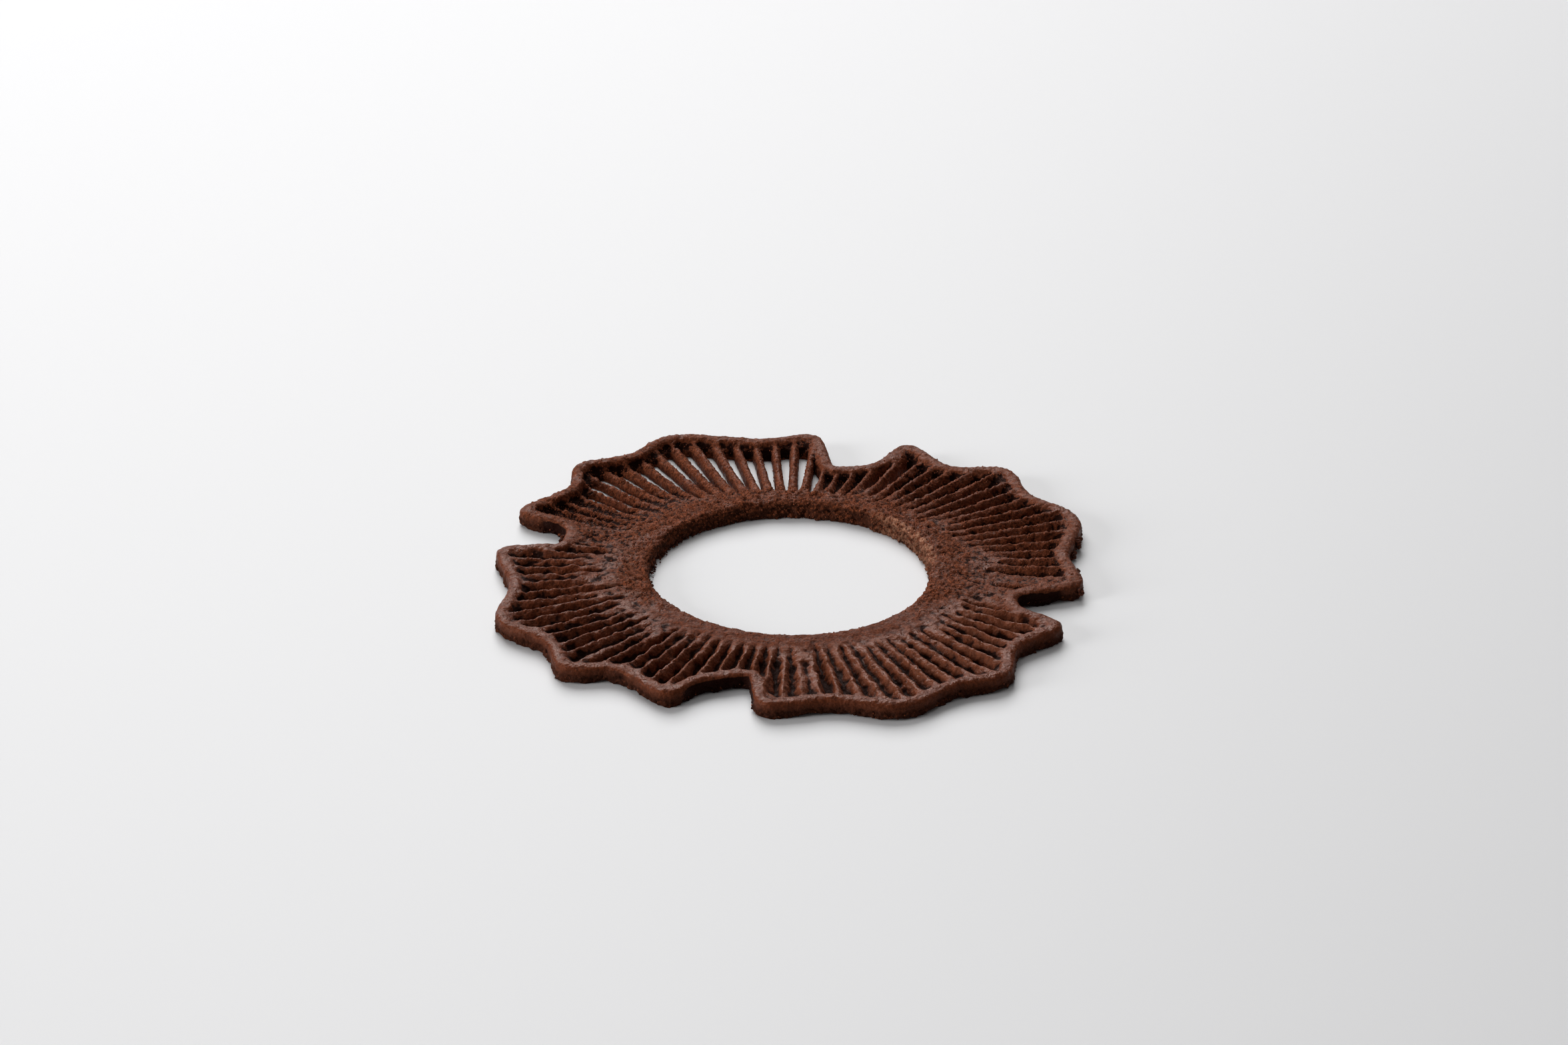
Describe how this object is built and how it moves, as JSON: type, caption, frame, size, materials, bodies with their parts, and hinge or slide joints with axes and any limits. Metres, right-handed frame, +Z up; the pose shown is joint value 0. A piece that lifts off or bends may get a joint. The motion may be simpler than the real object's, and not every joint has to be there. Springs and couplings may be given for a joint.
{
  "type": "chocolate tuile",
  "caption": "Flat crisp cocoa ring with four scalloped petals of fine radial ribs round an open centre, for topping or framing a plated dessert.",
  "frame": {"origin": "bottom centre of the piece's box, on the flat underside", "axes": "+Z up out of the ribbed top face; +X to the right and +Y to the back as the piece is seen in its picture"},
  "size_m": [0.109, 0.108, 0.0033],
  "materials": {
    "baked_cocoa": "baked dark cocoa batter, matte and crumbly on the band and ribs, with a faint fatty sheen on the rim"
  },
  "bodies": {
    "root": {"tuile": "baked_cocoa"}
  },
  "joints": []
}
